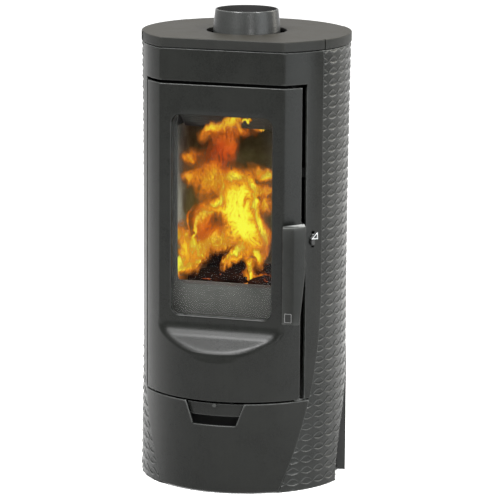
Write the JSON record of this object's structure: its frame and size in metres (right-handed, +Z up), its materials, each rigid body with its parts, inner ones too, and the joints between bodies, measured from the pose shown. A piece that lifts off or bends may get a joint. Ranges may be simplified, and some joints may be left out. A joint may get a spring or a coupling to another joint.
{
  "type": "wood stove",
  "caption": "Round column wood stove with a flat glass loading door, fish-scale textured cast sides, an ash drawer in the plinth and a top flue collar.",
  "frame": {"origin": "On the floor, under the axis of the round column.", "axes": "+Z points up, the loading door faces -Y and the door handle is on the +X side."},
  "size_m": [0.467, 0.462, 1.051],
  "materials": {
    "smooth_casting": "satin",
    "textured_casting": "satin",
    "steel_sheet": "matt",
    "bare_steel": "zinc plated",
    "lining": "matt",
    "grate_iron": "matt",
    "glass": "clear",
    "rope": "braided",
    "blank_plate": "satin"
  },
  "bodies": {
    "stove": {"base_plate": "steel_sheet", "side_casting_left": "textured_casting", "side_casting_right": "textured_casting", "rear_casing": "steel_sheet", "front_frame": "smooth_casting", "top_plate": "smooth_casting", "flue_collar": "smooth_casting", "collar_screws": "bare_steel", "support_ring": "steel_sheet", "ring_spacers": "bare_steel", "firebox_shell": "steel_sheet", "firebox_front": "steel_sheet", "firebox_top": "steel_sheet", "firebox_floor": "steel_sheet", "brick_left": "lining", "brick_right": "lining", "brick_back": "lining", "grate": "grate_iron", "log_guard": "grate_iron", "baffle_brick": "lining", "baffle_plate": "steel_sheet", "baffle_rests": "steel_sheet", "air_wash_deflector": "steel_sheet", "ash_chute": "steel_sheet", "air_shelf": "steel_sheet", "slide_guides": "bare_steel", "drawer_runners": "steel_sheet", "hinge_brackets": "steel_sheet", "hinge_pins": "bare_steel", "latch_keeper": "steel_sheet", "keeper_screws": "bare_steel", "casing_clips": "steel_sheet", "frame_brackets": "steel_sheet"},
    "door": {"door": "smooth_casting", "door_glass": "glass", "glass_seal": "rope", "glass_clips": "bare_steel", "clip_screws": "bare_steel", "door_rope": "rope", "handle_pin": "bare_steel"},
    "handle": {"door_handle": "smooth_casting", "handle_cap": "blank_plate", "latch_hook": "bare_steel"},
    "ash_drawer": {"drawer_front": "smooth_casting", "ash_pan": "steel_sheet", "drawer_screws": "bare_steel"},
    "primary_air": {"primary_air_slide": "steel_sheet", "primary_air_button": "bare_steel"},
    "secondary_air": {"secondary_air_slide": "steel_sheet", "secondary_air_knob": "grate_iron"}
  },
  "joints": [
    {"name": "door_hinge", "type": "hinge", "parent": "stove", "child": "door", "pos_m": [-0.16028, -0.1418, 0.56], "axis": [0, 0, -1], "range_deg": [0, 95]},
    {"name": "handle_pivot", "type": "hinge", "parent": "door", "child": "handle", "pos_m": [0.16604, -0.128, 0.539], "axis": [0, 0, 1], "range_deg": [0, 8]},
    {"name": "drawer_slide", "type": "slide", "parent": "stove", "child": "ash_drawer", "axis": [0, -1, 0], "range_m": [0, 0.24]},
    {"name": "primary_air_slide", "type": "slide", "parent": "stove", "child": "primary_air", "axis": [0, -1, 0], "range_m": [0, 0.023]},
    {"name": "secondary_air_slide", "type": "slide", "parent": "stove", "child": "secondary_air", "axis": [0, 0, -1], "range_m": [0, 0.014]}
  ]
}
